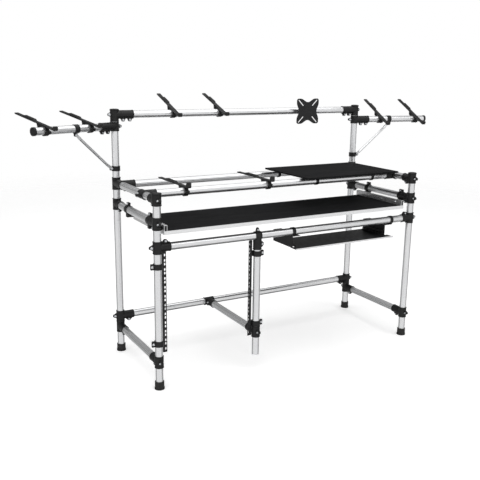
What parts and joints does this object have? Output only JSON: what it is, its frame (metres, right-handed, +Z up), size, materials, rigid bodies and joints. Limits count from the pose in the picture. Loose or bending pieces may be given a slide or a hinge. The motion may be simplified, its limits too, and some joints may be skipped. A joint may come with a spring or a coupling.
{
  "type": "studio rack stand",
  "caption": "Tubular aluminium studio stand with desk, shelf, rack bay, pull-out tray, swinging wings and tilting support arms.",
  "frame": {"origin": "bottom centre of the whole stand's bounding box, on the floor", "axes": "+X to the right along the long rails, +Y to the back, +Z up"},
  "size_m": [2.5392, 0.7996, 1.3896],
  "materials": {
    "tube": "satin anodised",
    "edge_profile": "satin anodised",
    "fitting": "moulded black",
    "bolt_steel": "bright zinc plate",
    "foot_rubber": "matt black",
    "black_board": "black laminate",
    "black_steel": "black powder coat",
    "runner_steel": "black zinc",
    "support_arm": "black moulded over a steel core, with rubber pads"
  },
  "bodies": {
    "frame": {"base_middle_tube": "tube", "base_rail_tees": "fitting", "base_side_left": "tube", "base_side_right": "tube", "base_side_tees": "fitting", "desk_board": "black_board", "desk_edge_profiles": "edge_profile", "desk_hangers": "fitting", "desk_side_left": "tube", "desk_side_right": "tube", "desk_side_tees": "fitting", "lower_rail_tees": "fitting", "post_back_left": "tube", "post_back_right": "tube", "post_front_left": "tube", "post_front_right": "tube", "post_middle": "tube", "rack_collars": "fitting", "rack_strip_left": "black_steel", "rack_strip_right": "black_steel", "rail_base_back": "tube", "rail_front_lower": "tube", "rail_tier_back": "tube", "rail_tier_front": "tube", "rail_top": "tube", "rubber_feet": "foot_rubber", "shelf_board": "black_board", "shelf_clips": "fitting", "tier_corner_tees": "fitting", "tier_elbows": "fitting", "tier_rail_tees": "fitting", "tier_side_left": "tube", "tier_side_right": "tube", "top_elbows": "fitting", "tray_collars": "fitting", "tray_runners": "runner_steel", "tray_side_plates": "black_steel"},
    "support_tier_1": {"arm_tier_1": "support_arm"},
    "support_tier_2": {"arm_tier_2": "support_arm"},
    "support_top_1": {"arm_top_1": "support_arm"},
    "support_top_2": {"arm_top_2": "support_arm"},
    "support_wing_left_1": {"arm_wing_left_1": "support_arm"},
    "support_wing_left_2": {"arm_wing_left_2": "support_arm"},
    "support_wing_right_1": {"arm_wing_right_1": "support_arm"},
    "support_wing_right_2": {"arm_wing_right_2": "support_arm"},
    "wing_left": {"brace_collars_left": "fitting", "brace_left": "tube", "wing_arm_left": "tube", "wing_cap_left": "fitting", "wing_tee_left": "fitting"},
    "wing_right": {"brace_collars_right": "fitting", "brace_right": "tube", "wing_arm_right": "tube", "wing_cap_right": "fitting", "wing_tee_right": "fitting"},
    "monitor_head": {"monitor_clamp": "fitting", "monitor_plate": "black_steel"},
    "tray": {"tray_nose_trim": "edge_profile", "tray_pan": "black_steel"}
  },
  "joints": [
    {"name": "wing_left_swing", "type": "hinge", "parent": "frame", "child": "wing_left", "pos_m": [-0.78886, 0.21084, 1.2314], "axis": [0, 0, 1], "range_deg": [-19.87, 70]},
    {"name": "wing_right_swing", "type": "hinge", "parent": "frame", "child": "wing_right", "pos_m": [0.76554, 0.21084, 1.2314], "axis": [0, 0, -1], "range_deg": [-9.63, 70]},
    {"name": "support_top_1_tilt", "type": "hinge", "parent": "frame", "child": "support_top_1", "pos_m": [-0.46486, 0.21084, 1.2913], "axis": [1, 0, 0], "range_deg": [-20, 40]},
    {"name": "support_top_2_tilt", "type": "hinge", "parent": "frame", "child": "support_top_2", "pos_m": [-0.18486, 0.21084, 1.2913], "axis": [1, 0, 0], "range_deg": [-20, 40]},
    {"name": "support_tier_1_lift", "type": "hinge", "parent": "frame", "child": "support_tier_1", "pos_m": [-0.57186, -0.17376, 0.938], "axis": [1, 0, 0], "range_deg": [0, 60]},
    {"name": "support_tier_2_lift", "type": "hinge", "parent": "frame", "child": "support_tier_2", "pos_m": [-0.09386, -0.17376, 0.938], "axis": [1, 0, 0], "range_deg": [0, 60]},
    {"name": "support_wing_left_1_tilt", "type": "hinge", "parent": "wing_left", "child": "support_wing_left_1", "pos_m": [-0.93746, 0.15714, 1.2314], "axis": [0.9405, 0.3399, 0], "range_deg": [-11, 40]},
    {"name": "support_wing_left_2_tilt", "type": "hinge", "parent": "wing_left", "child": "support_wing_left_2", "pos_m": [-1.1801, 0.06945, 1.2314], "axis": [0.9405, 0.3399, 0], "range_deg": [-11, 40]},
    {"name": "support_wing_right_1_tilt", "type": "hinge", "parent": "wing_right", "child": "support_wing_right_1", "pos_m": [0.93906, 0.1814, 1.2314], "axis": [0.9859, -0.1673, 0], "range_deg": [-24.7, 40]},
    {"name": "support_wing_right_2_tilt", "type": "hinge", "parent": "wing_right", "child": "support_wing_right_2", "pos_m": [1.18948, 0.13891, 1.2314], "axis": [0.9859, -0.1673, 0], "range_deg": [-24.7, 40]},
    {"name": "monitor_tilt", "type": "hinge", "parent": "frame", "child": "monitor_head", "pos_m": [0.37914, 0.21084, 1.2913], "axis": [1, 0, 0], "range_deg": [-20, 20]},
    {"name": "tray_slide", "type": "slide", "parent": "frame", "child": "tray", "axis": [0, -1, 0], "range_m": [0, 0.15]}
  ]
}
